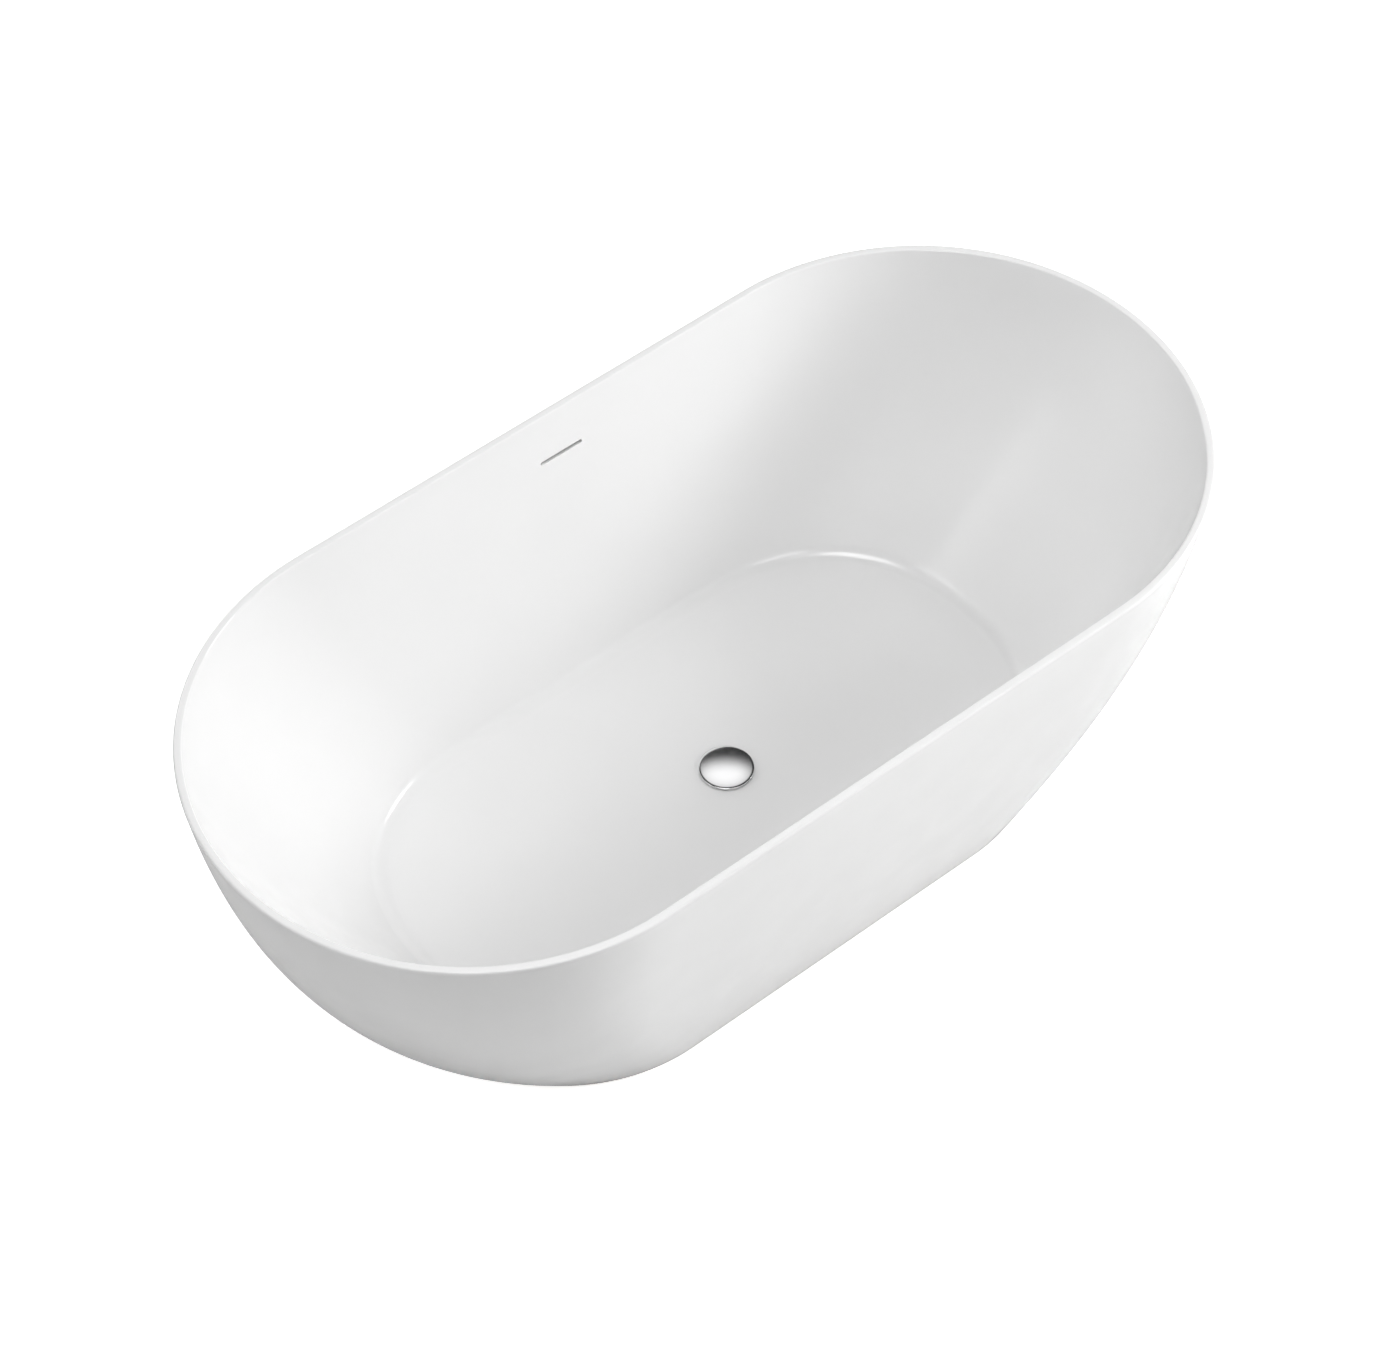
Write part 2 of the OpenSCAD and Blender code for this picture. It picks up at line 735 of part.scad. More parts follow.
module overflow_duct() {
    color("whitesmoke") difference() {
        on_wall() difference() {
            slab(
                [-duct_half, duct_half],
                [duct_front, duct_front + duct_depth],
                [-basin_depth, housing_bottom]
            );
            slab(
                [-duct_half + duct_wall, duct_half - duct_wall],
                [duct_front + duct_wall, duct_front + duct_depth - duct_wall],
                [-basin_depth - cut, housing_bottom + cut]
            );
        }
        slab([-rim_half, rim_half], [0, rim_half], [-tub_height, duct_end_z]);
    }
}
module overflow_adapter() {
    x = [slot_x - adapter_half, slot_x + adapter_half];
    inside_x = [x[0] + adapter_wall, x[1] - adapter_wall];
    inside_y = [adapter_y[0] + adapter_wall, adapter_y[1] - adapter_wall];
    // The mouth in the top plate lies under the duct's hollow
    mouth_y = slot_y + (duct_end_z - slot_z) * tan(wall_lean) + duct_front / cos(wall_lean);
    color("whitesmoke") difference() {
        union() {
            slab(x, adapter_y, [adapter_z, duct_end_z]);
            translate([slot_x, adapter_spigot_y, adapter_spigot_z]) rotate([-90, 0, 0])
                cylinder(r = inlet_r, h = adapter_y[0] - adapter_spigot_y + eps);
        }
        slab(inside_x, inside_y, [adapter_z + adapter_wall, duct_end_z - adapter_wall]);
        slab(
            [slot_x - duct_half + duct_wall, slot_x + duct_half - duct_wall],
            [mouth_y + duct_wall, mouth_y + duct_depth - duct_wall],
            [duct_end_z - 2 * adapter_wall, duct_end_z + cut]
        );
        translate([slot_x, adapter_spigot_y - cut, adapter_spigot_z]) rotate([-90, 0, 0])
            cylinder(r = inlet_bore_r, h = adapter_y[0] - adapter_spigot_y + 2 * adapter_wall);
    }
}
// Round section of the hose, upright across its mostly level run
function hose_ring(t, r) =
    let (ease = t * t * (3 - 2 * t))
    [for (i = [0:hose_sides - 1]) let (a = 360 * i / hose_sides) [
        lerp(hose_start[0], hose_end[0], ease) + r * cos(a),
        lerp(hose_start[1], hose_end[1], t),
        lerp(hose_start[2], hose_end[2], ease) + r * sin(a)
    ]];
module overflow_hose() {
    outside = [for (k = [0:hose_rings]) hose_ring(k / hose_rings, hose_r)];
    inside = [for (k = [hose_rings:-1:0]) hose_ring(k / hose_rings, hose_bore_r)];
    rings = concat(outside, inside);
    color("gray") polyhedron(
        points = [for (r = rings) each r],
        faces = side_faces(len(rings), hose_sides, true)
    );
}
// Worm-drive clip round a hose that runs along Y
module hose_clip(place) {
    screw_len = 14;
    color("silver") translate(place) {
        rotate([-90, 0, 0]) tube(clip_r, hose_r + 0.3, -clip_w / 2, clip_w);
        translate([-screw_len / 2, -clip_w / 2, clip_r - 1]) difference() {
            cube([screw_len, clip_w, 5]);
            translate([-cut, clip_w / 2, 2.5]) rotate([0, 90, 0]) cylinder(r = 1.5, h = screw_len / 2);
        }
    }
}
module hose_clip_duct() {
    hose_clip([hose_start[0], hose_start[1] - clip_w / 2 - clip_inset, hose_start[2]]);
}
module hose_clip_waste() {
    hose_clip([hose_end[0], hose_end[1] + clip_w / 2 + clip_inset, hose_end[2]]);
}

basin_shell();
basin_backing();
skirt_shell();
skirt_backing();
rim_adhesive();
base_board();
rail(1);  // rail_left
rail(-1);  // rail_right
cross_tube(1);  // cross_tube_head
cross_tube(-1);  // cross_tube_tail
tube_end_plugs();
board_screws();
frame_bolts();
frame_weld_nuts();
foot_pad(0);  // foot_pad_1
foot_pad(1);  // foot_pad_2
foot_pad(2);  // foot_pad_3
foot_pad(3);  // foot_pad_4
foot_rod(0);  // foot_rod_1
foot_rod(1);  // foot_rod_2
foot_rod(2);  // foot_rod_3
foot_rod(3);  // foot_rod_4
foot_locknut(0);  // foot_locknut_1
foot_locknut(1);  // foot_locknut_2
foot_locknut(2);  // foot_locknut_3
foot_locknut(3);  // foot_locknut_4
foot_weld_nut(0);  // foot_weld_nut_1
foot_weld_nut(1);  // foot_weld_nut_2
foot_weld_nut(2);  // foot_weld_nut_3
foot_weld_nut(3);  // foot_weld_nut_4
drain_flange();
drain_neck();
drain_spider();
drain_upper_gasket();
drain_lower_gasket();
waste_body();
outlet_washer();
outlet_nut();
tail_pipe();
click_cartridge();
cartridge_screw();
cartridge_spring();
stopper_cap();
stopper_seal();
stopper_stem();
overflow_liner();
overflow_gasket();
overflow_housing();
overflow_duct();
overflow_adapter();
overflow_hose();
hose_clip_duct();
hose_clip_waste();
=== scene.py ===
"""Looks of the freestanding bathtub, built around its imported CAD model. All lengths are in metres."""

import json
import math

import bmesh
import bpy
import numpy as np
from mathutils import Matrix, Vector


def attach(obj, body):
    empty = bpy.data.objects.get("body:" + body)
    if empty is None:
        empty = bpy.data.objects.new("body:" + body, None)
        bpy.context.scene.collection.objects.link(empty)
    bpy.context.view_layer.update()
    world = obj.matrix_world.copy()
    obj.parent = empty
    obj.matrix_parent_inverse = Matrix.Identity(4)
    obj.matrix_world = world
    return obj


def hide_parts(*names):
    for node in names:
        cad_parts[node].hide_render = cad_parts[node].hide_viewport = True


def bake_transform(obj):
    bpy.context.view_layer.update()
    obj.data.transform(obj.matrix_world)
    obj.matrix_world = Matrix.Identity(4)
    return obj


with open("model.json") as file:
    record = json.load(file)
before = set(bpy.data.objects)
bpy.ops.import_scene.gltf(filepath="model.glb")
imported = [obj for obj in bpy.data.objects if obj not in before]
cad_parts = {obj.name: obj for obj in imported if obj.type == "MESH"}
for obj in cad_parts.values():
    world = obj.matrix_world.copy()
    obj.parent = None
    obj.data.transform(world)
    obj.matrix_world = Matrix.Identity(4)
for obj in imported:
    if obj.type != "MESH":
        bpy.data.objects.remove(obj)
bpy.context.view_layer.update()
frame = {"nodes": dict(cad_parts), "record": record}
nodes = frame["nodes"]
mm = 0.001

# ---------------------------------------------------------------- sizes, as in the CAD source
TUB_LENGTH, TUB_WIDTH, TUB_HEIGHT = 1700 * mm, 850 * mm, 580 * mm
RIM_WIDTH, RIM_ROUND, RIM_INNER_ROUND, RIM_LIP = 12 * mm, 3 * mm, 1.5 * mm, 6 * mm
BASIN_DEPTH = 455 * mm
CORNER_STRAIGHT, CORNER_HALF = 242 * mm, 297 * mm
FLOOR_STRAIGHT, FLOOR_HALF = 248 * mm, 275 * mm
FILLET_RISE = 17 * mm
FLOOR_POWER, END_POWER = 2.26, 1.25
SKIRT_GAP, SKIRT_EDGE = 8 * mm, 2 * mm
BASE_STRAIGHT, BASE_HALF = 279 * mm, 301 * mm
SIDE_POWER, SKIRT_END_POWER = 1.19, 2.85
ACRYLIC, BOND = 4 * mm, 0.2 * mm
BASIN_BACKING, SKIRT_BACKING = 3 * mm, 2 * mm
SKIN_OUT = 1.05
BACKING_DROP, BACKING_LIFT = 40 * mm, 4 * mm
RIM_HALF = TUB_WIDTH / 2
RIM_STRAIGHT = TUB_LENGTH / 2 - RIM_HALF
INNER_HALF = RIM_HALF - RIM_WIDTH
FLOOR_Z = TUB_HEIGHT - BASIN_DEPTH
SKIRT_HEIGHT = TUB_HEIGHT - SKIRT_GAP
DRAIN_X, DRAIN_HOLE = 37 * mm, 23 * mm
SLOT_X, SLOT_DROP = 43 * mm, 75 * mm
SLOT_LENGTH, SLOT_HEIGHT = 80 * mm, 7.2 * mm
WALL_LEAN = math.atan((INNER_HALF - CORNER_HALF) / BASIN_DEPTH)
SLOT_Y = INNER_HALF - SLOT_DROP * math.tan(WALL_LEAN)
SLOT_Z = TUB_HEIGHT - SLOT_DROP

# ---------------------------------------------------------------- smooth skins


def lerp(a, b, t):
    """The value a share t of the way from a to b."""
    return a + (b - a) * t


def station(straight, half, power, z):
    """Outline at one height: half a straight side, half a width and the power of the end curves."""
    return np.array([straight, half, power, z], float)


def basin_station(u, out):
    """Outline of the basin wall, u from 0 at the rim to 1 at the floor's level."""
    straight = RIM_STRAIGHT - (RIM_STRAIGHT - CORNER_STRAIGHT) * u**END_POWER
    half = lerp(INNER_HALF, CORNER_HALF, u) + out
    return station(straight, half, lerp(2, FLOOR_POWER, u), TUB_HEIGHT - BASIN_DEPTH * u)


def skirt_station(z, inset):
    """Outline of the skirt at one height, inset from its outer face."""
    left = 1 - (z - SKIRT_GAP) / SKIRT_HEIGHT
    straight = BASE_STRAIGHT + (RIM_STRAIGHT - BASE_STRAIGHT) * (1 - left**SKIRT_END_POWER)
    half = BASE_HALF + (RIM_HALF - BASE_HALF) * (1 - left**SIDE_POWER) - inset
    return station(straight, half, 2, z)


def ring(s, end_steps):
    """Points of one station, anticlockwise from above."""
    straight, half, power, z = s
    a = np.linspace(-90, 90, end_steps + 1) * math.pi / 180
    c, d = np.cos(a), np.sin(a)
    x = half * np.sign(c) * np.abs(c) ** (2 / power)
    y = half * np.sign(d) * np.abs(d) ** (2 / power)
    level = np.full_like(x, z)
    right = np.stack([straight + x, y, level], 1)
    left = np.stack([-straight - x, -y, level], 1)
    return np.vstack([right, left])


def full_turn(count):
    """Angles of equal steps round a circle, without the last one that would meet the first."""
    return np.linspace(0, 2 * math.pi, count, endpoint=False)


def circle(x, y, radius, z, a):
    """Points at the angles a round the upright axis at x and y. The radius may change with the angle."""
    return np.stack([x + radius * np.cos(a), y + radius * np.sin(a), np.full_like(a, z)], 1)


def circle_towards(points, centre_x, radius, z):
    """A circle round the drain whose points lie in the directions of the given ones."""
    return circle(centre_x, 0, radius, z, np.arctan2(points[:, 1], points[:, 0] - centre_x))


def basin_rings(thickness, drop, wall_steps, fillet_steps, floor_steps, end_steps):
    """Rings of a basin surface, from the drain hole over the floor and up the wall."""
    out = thickness * SKIN_OUT
    foot = 1 - FILLET_RISE / BASIN_DEPTH
    wall_foot = basin_station(foot, out)
    corner = basin_station(1 + thickness / BASIN_DEPTH, out)
    flat_edge = station(FLOOR_STRAIGHT, FLOOR_HALF, FLOOR_POWER, FLOOR_Z - thickness)
    edge = ring(flat_edge, end_steps)
    hole = circle_towards(edge, DRAIN_X, DRAIN_HOLE, FLOOR_Z - thickness)
    made = [lerp(hole, edge, k / floor_steps) for k in range(floor_steps)]
    for k in range(fillet_steps):
        t = k / fillet_steps
        made.append(ring(lerp(lerp(flat_edge, corner, t), lerp(corner, wall_foot, t), t), end_steps))
    for k in range(wall_steps + 1):
        made.append(ring(basin_station(lerp(foot, drop / BASIN_DEPTH, k / wall_steps), out), end_steps))
    return made


def rim_rings(end_steps, edge_steps):
    """Rings over the rim, from the basin's edge to the inner side of the lip."""
    quarter = [math.pi / 2 * k / edge_steps for k in range(edge_steps + 1)]
    made = []
    for a in quarter[1:]:
        z = TUB_HEIGHT - RIM_INNER_ROUND * (1 - math.sin(a))
        made.append((INNER_HALF + RIM_INNER_ROUND * (1 - math.cos(a)), z))
    for a in quarter[::-1]:
        z = TUB_HEIGHT - RIM_ROUND * (1 - math.sin(a))
        made.append((RIM_HALF - RIM_ROUND * (1 - math.cos(a)), z))
    made.append((RIM_HALF, TUB_HEIGHT - RIM_LIP))
    made.append((RIM_HALF - ACRYLIC, TUB_HEIGHT - RIM_LIP))
    return [ring(station(RIM_STRAIGHT, half, 2, z), end_steps) for half, z in made]


def skirt_rings(inset, low, high, steps, end_steps):
    return [ring(skirt_station(lerp(low, high, k / steps), inset), end_steps) for k in range(steps + 1)]


def mesh_object(name, vertices, faces):
    mesh = bpy.data.meshes.new(name)
    mesh.from_pydata([tuple(v) for v in vertices], [], faces)
    made = bpy.data.objects.new(name, mesh)
    bpy.context.scene.collection.objects.link(made)
    return made


def band_faces(count, size, closed):
    """Faces between rings of equal size. A closed band joins the last ring to the first."""
    faces = []
    for k in range(count if closed else count - 1):
        m = (k + 1) % count
        for i in range(size):
            j = (i + 1) % size
            faces.append((k * size + i, m * size + i, m * size + j, k * size + j))
    return faces


SHARP_DEG = 35
MERGE_REACH = 1e-7


def finish_mesh(made, sharp_deg=SHARP_DEG):
    """Outward normals, smooth shading, and sharp edges where the surface turns."""
    bm = bmesh.new()
    bm.from_mesh(made.data)
    bmesh.ops.remove_doubles(bm, verts=bm.verts, dist=MERGE_REACH)
    bmesh.ops.dissolve_degenerate(bm, edges=bm.edges, dist=MERGE_REACH)
    bmesh.ops.recalc_face_normals(bm, faces=bm.faces)
    bm.to_mesh(made.data)
    bm.free()
    made.data.shade_smooth()
    made.data.set_sharp_from_angle(angle=math.radians(sharp_deg))
    return made


def band_object(name, rings, closed=True, caps=False):
    """A skin through the rings, closed on itself like a tube's wall, or open with a cap at each end."""
    size = len(rings[0])
    faces = band_faces(len(rings), size, closed)
    if caps:
        faces.append(tuple(range(size - 1, -1, -1)))
        faces.append(tuple((len(rings) - 1) * size + i for i in range(size)))
    return finish_mesh(mesh_object(name, np.vstack(rings), faces))


def cut_out(target, cutter):
    """Takes the cutter's volume out of the target and removes the cutter."""
    mod = target.modifiers.new("cut", "BOOLEAN")
    mod.object = cutter
    mod.operation = "DIFFERENCE"
    mod.solver = "EXACT"
    bpy.context.view_layer.update()
    graph = bpy.context.evaluated_depsgraph_get()
    mesh = bpy.data.meshes.new_from_object(target.evaluated_get(graph))
    target.modifiers.clear()
    target.data = mesh
    bpy.data.objects.remove(cutter)
    target.data.shade_smooth()
    target.data.set_sharp_from_angle(angle=math.radians(SHARP_DEG))
    return target


def wall_frame():
    """Frame on the sloping side wall: its XZ plane is the wall's face, and +Y leads out of the basin."""
    return Matrix.Translation((SLOT_X, SLOT_Y, SLOT_Z)) @ Matrix.Rotation(-WALL_LEAN, 4, "X")


OVERCUT = 1 * mm
# Steps round each end of the tub
SKIN_END_STEPS, BACKING_END_STEPS = 96, 64


def slot_cutter(length, height, near, far):
    """Slot with round ends, cut square to the wall."""
    r = height / 2
    points = []
    for side in (1, -1):
        for k in range(25):
            a = math.radians(-90 + 180 * k / 24) + (0 if side == 1 else math.pi)
            points.append((side * (length / 2 - r) + r * math.cos(a), r * math.sin(a)))
    place = wall_frame()
    rings = [[place @ Vector((x, y, z)) for x, z in points] for y in (near, far)]
    return band_object("cutter", np.array([[tuple(p) for p in r] for r in rings]), closed=False, caps=True)


def box_cutter(low, high, place):
    outline = ((low[0], low[1]), (high[0], low[1]), (high[0], high[1]), (low[0], high[1]))
    rings = [[tuple(place @ Vector((x, y, z))) for x, y in outline] for z in (low[2], high[2])]
    return band_object("cutter", np.array(rings), closed=False, caps=True)


def build_basin():
    """Inner skin: floor, fillet, wall and rim, with the drain hole and the overflow slot."""
    steps = {"wall_steps": 40, "end_steps": SKIN_END_STEPS}
    inside = basin_rings(0, RIM_INNER_ROUND, fillet_steps=16, floor_steps=14, **steps)
    outside = basin_rings(ACRYLIC, RIM_LIP, fillet_steps=10, floor_steps=6, **steps)
    rings = inside + rim_rings(SKIN_END_STEPS, edge_steps=8) + outside[::-1]
    made = band_object("basin_acrylic", rings)
    return cut_out(made, slot_cutter(SLOT_LENGTH, SLOT_HEIGHT, -OVERCUT, ACRYLIC + OVERCUT))


def build_skirt():
    """Outer skin with a rounded lower edge."""
    steps, edge_steps = 48, 8
    top = TUB_HEIGHT - RIM_LIP
    low = SKIRT_GAP
    outside = skirt_rings(0, low + SKIRT_EDGE, top, steps, SKIN_END_STEPS)
    inside = skirt_rings(ACRYLIC, low + SKIRT_EDGE, top, steps, SKIN_END_STEPS)
    edge = []
    for k in range(1, edge_steps):
        a = math.pi * k / edge_steps
        turned = skirt_station(low + SKIRT_EDGE * (1 - math.sin(a)), ACRYLIC / 2 * (1 - math.cos(a)))
        edge.append(ring(turned, SKIN_END_STEPS))
    return band_object("skirt_acrylic", edge[::-1] + outside + inside[::-1])


def revolve(name, profile, x=0.0, y=0.0, turns=96, sharp_deg=SHARP_DEG):
    """A turned piece from a closed profile of radius and height pairs; a radius of zero lies on the axis."""
    a = full_turn(turns)
    rings = [circle(x, y, r, z, a) for r, z in profile]
    closed = profile[0][0] > 0 or profile[-1][0] > 0
    return finish_mesh(mesh_object(name, np.vstack(rings), band_faces(len(rings), turns, closed)), sharp_deg)


def arc(centre_r, centre_z, radius, start_deg, stop_deg, steps=6):
    """Profile points on an arc, angles from +r towards +z."""
    made = []
    for k in range(steps + 1):
        a = math.radians(lerp(start_deg, stop_deg, k / steps))
        made.append((centre_r + radius * math.cos(a), centre_z + radius * math.sin(a)))
    return made


CAP_R, CAP_Z, CAP_SIDE, CAP_CROWN = 42.5 * mm, 128.6 * mm, 3 * mm, 1.5 * mm
CAP_WALL, CAP_CEILING, CAP_SOCKET = 2 * mm, 2.1 * mm, 7 * mm
CAP_SHOULDER, CAP_SHOULDER_DROP, CAP_CROWN_INSET, CAP_FOOT = 0.9 * mm, 0.95 * mm, 0.8 * mm, 0.4 * mm
SEAT_Z, STEM_TIP_R = 129 * mm, 3 * mm
FIT_GAP = 0.05 * mm


def build_cap():
    """Domed waste cap with a small round where the crown turns down into the side."""
    level, ceiling, boss_z = CAP_Z + CAP_SIDE, CAP_Z + CAP_CEILING, SEAT_Z + FIT_GAP
    reach = CAP_R - CAP_CROWN_INSET
    sphere = (reach**2 + CAP_CROWN**2) / (2 * CAP_CROWN)
    crown_z = level + CAP_CROWN - sphere
    crown = [(r, crown_z + math.sqrt(sphere**2 - r**2)) for r in reach * np.arange(24) / 24]
    side = arc(CAP_R - CAP_SHOULDER, level - CAP_SHOULDER_DROP, CAP_SHOULDER, 82, 0)
    side += arc(CAP_R - CAP_FOOT, CAP_Z + CAP_FOOT, CAP_FOOT, 0, -90, 4)
    under = [(CAP_R - CAP_WALL, CAP_Z), (CAP_R - CAP_WALL, ceiling), (CAP_SOCKET, ceiling)]
    under += [(CAP_SOCKET, boss_z), (STEM_TIP_R, boss_z), (STEM_TIP_R, ceiling), (0, ceiling)]
    return revolve("waste_cap", crown + side + under, DRAIN_X, turns=128)


def thread_rings(x, y, radius, low, high, pitch, depth, per_pitch=6):
    """Rings whose radius rises and falls round a helix."""
    count = max(2, int((high - low) / pitch * per_pitch))
    a = full_turn(HEX_TURNS)
    rings = []
    for k in range(count + 1):
        z = lerp(low, high, k / count)
        fade = min(1, (high - z) / pitch, (z - low) / pitch)
        turn = (z / pitch - a / (2 * math.pi)) % 1
        r = radius - depth * fade * (1 - np.abs(2 * turn - 1))
        rings.append(circle(x, y, r, z, a))
    return rings


def hex_rings(x, y, across, low, high, chamfer):
    """A hexagon head whose corners are turned down at both faces."""
    a = full_turn(HEX_TURNS)
    within = (a + math.pi / 6) % (math.pi / 3) - math.pi / 6
    flat = across / 2 / np.cos(within)
    turned = np.minimum(flat, across / 2)
    levels = ((low, turned), (low + chamfer, flat), (high - chamfer, flat), (high, turned))
    return [circle(x, y, r, z, a) for z, r in levels]


def shaft(name, x, y, rings):
    """Closes a run of equal rings with a point on the axis at each end."""
    size = len(rings[0])
    ends = [np.tile([x, y, r[0][2]], (size, 1)) for r in (rings[0], rings[-1])]
    points = np.vstack([ends[0], *rings, ends[1]])
    return finish_mesh(mesh_object(name, points, band_faces(len(rings) + 2, size, False)))


PAD_R, PAD_H, PAD_FLOOR, PAD_TOP_R, SPIGOT_R = 25 * mm, 12 * mm, 4 * mm, 13 * mm, 5 * mm
PAD_EDGE, PAD_SHOULDER, PAD_TOP_EDGE, PAD_TOP_DROP, PAD_RING = 1 * mm, 0.8 * mm, 0.6 * mm, 0.1 * mm, 0.5 * mm
SOLE_MIDDLE, SOLE_GROOVE, SOLE_RIBS, SOLE_PITCH = 5 * mm, 0.6 * mm, 4, 4.5 * mm
SPIGOT_CHAMFER = 0.5 * mm
ROD_R, ROD_HEX, ROD_HEX_H, ROD_TOP = 6 * mm, 17 * mm, 7 * mm, 96 * mm
ROD_PITCH, THREAD_DEPTH, ROD_RELIEF = 1.75 * mm, 0.9 * mm, 1 * mm
NUT_ACROSS, LOCKNUT_H, WELD_NUT_H, NUT_MOUTH = 19 * mm, 7 * mm, 10 * mm, 0.7 * mm
HEX_CHAMFER, HEX_TURNS = 0.8 * mm, 48
CROSS_X, FOOT_Y, RAIL_Y = 360 * mm, 205 * mm, 150 * mm
CROSS_Z, RAIL_Z, TUBE, TUBE_WALL = 52.8 * mm, 77.8 * mm, 25 * mm, 2 * mm
TUBE_ROUND, TUBE_INNER_ROUND, ROD_PASS = 2.5 * mm, 0.8 * mm, 0.6 * mm
RAIL_HALF, CROSS_HALF = 440 * mm, 235 * mm
FEET = ((CROSS_X, -FOOT_Y), (CROSS_X, FOOT_Y), (-CROSS_X, FOOT_Y), (-CROSS_X, -FOOT_Y))


def build_pad(number, x, y):
    """Rubber pad with a grooved sole, a soft lower edge and two rings moulded into its cone."""
    profile = [(0, SOLE_GROOVE), (SOLE_MIDDLE, SOLE_GROOVE)]
    for k in range(SOLE_RIBS):
        near = SOLE_MIDDLE + 1 * mm + SOLE_PITCH * k
        profile += [(near, 0), (near + 3 * mm, 0)]
        profile += [(near + 3.4 * mm, SOLE_GROOVE), (near + 4.1 * mm, SOLE_GROOVE)]
    profile[-2:] = [(PAD_R - PAD_EDGE, 0)]
    profile += arc(PAD_R - PAD_EDGE, PAD_EDGE, PAD_EDGE, -60, 0, 4)
    profile += arc(PAD_R - PAD_SHOULDER, PAD_FLOOR - PAD_SHOULDER, PAD_SHOULDER, 0, 60, 4)
    for start in (0.25, 0.6):
        for step, dip in ((0, 0), (0.03, PAD_RING), (0.09, PAD_RING), (0.12, 0)):
            r, z = lerp(PAD_R, PAD_TOP_R, start + step), lerp(PAD_FLOOR, PAD_H, start + step)
            profile.append((r - dip, z - dip))
    profile += [(PAD_TOP_R, PAD_H - PAD_TOP_DROP), (PAD_TOP_R - PAD_TOP_EDGE, PAD_H)]
    socket = SPIGOT_R + FIT_GAP
    profile += [(socket, PAD_H), (socket, PAD_FLOOR), (0, PAD_FLOOR)]
    return revolve("levelling_pad_%d" % number, profile, x, y, turns=72, sharp_deg=50)


def build_rod(number, x, y):
    """Levelling rod: a spigot in the pad, a hexagon and a threaded length."""
    a = full_turn(HEX_TURNS)

    def plain(r, z):
        return circle(x, y, r, z, a)

    foot, seat = PAD_FLOOR + FIT_GAP, PAD_H + FIT_GAP
    top = seat + ROD_HEX_H
    rings = [plain(SPIGOT_R - SPIGOT_CHAMFER, foot), plain(SPIGOT_R, foot + SPIGOT_CHAMFER)]
    rings += [plain(SPIGOT_R, seat)]
    rings += hex_rings(x, y, ROD_HEX, seat, top, HEX_CHAMFER)
    rings += [plain(ROD_R - THREAD_DEPTH, top), plain(ROD_R - THREAD_DEPTH, top + ROD_RELIEF)]
    rings += thread_rings(x, y, ROD_R, top + ROD_RELIEF, ROD_TOP - ROD_RELIEF, ROD_PITCH, THREAD_DEPTH)
    rings += [plain(ROD_R - ROD_RELIEF, ROD_TOP)]
    return shaft("levelling_rod_%d" % number, x, y, rings)


def build_nut(name, x, y, low, height):
    """Hexagon nut whose bore is opened out at both faces."""
    a = full_turn(HEX_TURNS)
    rings = hex_rings(x, y, NUT_ACROSS, low, low + height, HEX_CHAMFER)
    bore, mouth = ROD_R + FIT_GAP, ROD_R + FIT_GAP + NUT_MOUTH
    for r, z in ((mouth, height), (bore, height - NUT_MOUTH), (bore, NUT_MOUTH), (mouth, 0)):
        rings.append(circle(x, y, r, low + z, a))
    return band_object(name, rings)


def rounded_square(half, radius, steps=4):
    """Points round a square with rounded corners."""
    points = []
    for k in range(4):
        corner = math.radians(45 + 90 * k)
        cx = math.copysign(half - radius, math.cos(corner))
        cy = math.copysign(half - radius, math.sin(corner))
        for i in range(steps + 1):
            a = math.radians(90 * k + 90 * i / steps)
            points.append((cx + radius * math.cos(a), cy + radius * math.sin(a)))
    return np.array(points)


def build_tube(name, centre, half_length, turned):
    """Square steel tube with rolled corners, along X or, when turned, along Y."""
    outer = rounded_square(TUBE / 2, TUBE_ROUND)
    inner = rounded_square(TUBE / 2 - TUBE_WALL, TUBE_INNER_ROUND)
    walls = ((outer, -half_length), (outer, half_length), (inner, half_length), (inner, -half_length))
    rings = []
    for section, reach in walls:
        along = np.full(len(section), reach)
        parts = (section[:, 0], along) if turned else (along, section[:, 0])
        rings.append(np.stack([*parts, section[:, 1]], 1) + np.array(centre))
    made = band_object(name, rings)
    if turned:
        for y in (-FOOT_Y, FOOT_Y):
            cut_out(made, peg(centre[0], y, ROD_R + ROD_PASS, CROSS_Z - OVERCUT, RAIL_Z + OVERCUT))
    return made


def peg(x, y, radius, low, high):
    """Round cutter for the hole that a rod passes through."""
    a = full_turn(32)
    return band_object("cutter", [circle(x, y, radius, z, a) for z in (low, high)], closed=False, caps=True)


HOSE_START, HOSE_END = np.array((43, 264, 66)) * mm, np.array((37, 46, 56)) * mm
HOSE_R, HOSE_BORE, HOSE_CUFF = 13.7 * mm, 12.3 * mm, 20 * mm
HOSE_FOLD, HOSE_PITCH, HOSE_STEPS = 1.2 * mm, 4.6 * mm, 380


